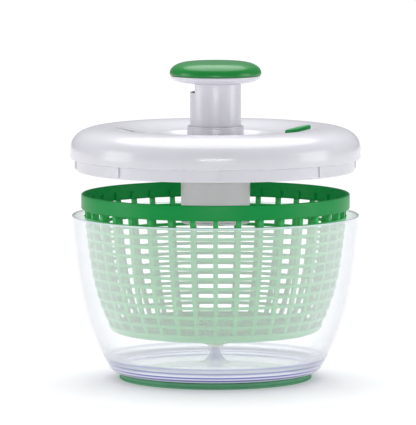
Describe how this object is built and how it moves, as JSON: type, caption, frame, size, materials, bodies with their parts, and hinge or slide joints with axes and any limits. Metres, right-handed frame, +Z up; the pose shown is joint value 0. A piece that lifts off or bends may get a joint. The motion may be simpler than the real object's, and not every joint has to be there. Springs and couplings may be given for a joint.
{
  "type": "salad spinner",
  "caption": "Round pump-action salad spinner: clear bowl, lattice basket and domed lid with a push knob, spiral drive and brake button, shown with the lid lifted off.",
  "frame": {"origin": "centre of the underside of the non-slip ring, on the surface the bowl stands on", "axes": "+Z up along the spin axis; +X from the axis towards the brake button, so the drain grille is at -X"},
  "size_m": [0.205, 0.205, 0.2241],
  "materials": {
    "bowl_clear": "clear moulded plastic, polished",
    "foot_green": "soft matte",
    "basket_green": "satin moulded plastic",
    "lid_white": "glossy moulded plastic",
    "tube_white": "glossy moulded plastic",
    "knob_green": "soft-touch, matte",
    "brake_green": "satin",
    "bearing_plastic": "waxy natural plastic",
    "drive_grey": "satin",
    "steel": "plain",
    "pad_rubber": "matte"
  },
  "bodies": {
    "bowl": {"bowl": "bowl_clear", "non_slip_ring": "foot_green"},
    "pivot": {"pivot_bush": "bearing_plastic"},
    "basket": {"basket": "basket_green"},
    "lid": {"lid_cover": "lid_white", "lid_base": "lid_white", "plunger_guide": "lid_white", "drain_grille": "lid_white", "brake_housing": "lid_white", "guide_screw_1": "steel", "guide_screw_2": "steel", "guide_screw_3": "steel", "guide_screw_4": "steel", "retaining_ring": "steel", "thrust_washer": "bearing_plastic", "return_spring": "steel", "brake_spring": "steel"},
    "plunger": {"plunger_tube": "tube_white", "plunger_nut": "bearing_plastic", "knob_base": "tube_white", "knob_cap": "knob_green", "knob_screw": "steel"},
    "spindle": {"drive_screw": "drive_grey", "clutch_rotor": "bearing_plastic"},
    "turntable": {"turntable_hub": "tube_white", "drive_wheel": "tube_white", "ratchet_ring": "drive_grey", "hub_cap": "tube_white", "upper_bearing": "bearing_plastic", "lower_bearing": "bearing_plastic", "hub_screw_1": "steel", "hub_screw_2": "steel", "hub_screw_3": "steel"},
    "brake": {"brake_button": "brake_green", "brake_pad": "pad_rubber"}
  },
  "joints": [
    {"name": "basket_lift", "type": "slide", "parent": "bowl", "child": "pivot", "axis": [0, 0, 1], "range_m": [0, 0.12]},
    {"name": "basket_spin", "type": "hinge", "parent": "pivot", "child": "basket", "pos_m": [0, 0, 0.03], "axis": [0, 0, 1], "continuous": true},
    {"name": "lid_lift", "type": "slide", "parent": "pivot", "child": "lid", "axis": [0, 0, 1], "range_m": [-0.0395, 0.1]},
    {"name": "plunger_press", "type": "slide", "parent": "lid", "child": "plunger", "axis": [0, 0, 1], "range_m": [-0.03, 0], "stiffness_N_per_m": 150, "springref_m": 0.02, "deforming": ["return_spring"]},
    {"name": "spindle_spin", "type": "hinge", "parent": "lid", "child": "spindle", "pos_m": [0, 0, 0.12], "axis": [0, 0, 1], "range_deg": [-1, 451]},
    {"name": "turntable_spin", "type": "hinge", "parent": "lid", "child": "turntable", "pos_m": [0, 0, 0.13], "axis": [0, 0, 1], "continuous": true},
    {"name": "brake_press", "type": "slide", "parent": "lid", "child": "brake", "axis": [0, 0, -1], "range_m": [0, 0.0027], "stiffness_N_per_m": 600, "springref_m": -0.003, "deforming": ["brake_spring"]}
  ],
  "couplings": [
    {"joint": "spindle_spin", "follows": "plunger_press", "rad_per_m": -261.8},
    {"joint": "turntable_spin", "follows": "basket_spin", "ratio": 1}
  ]
}
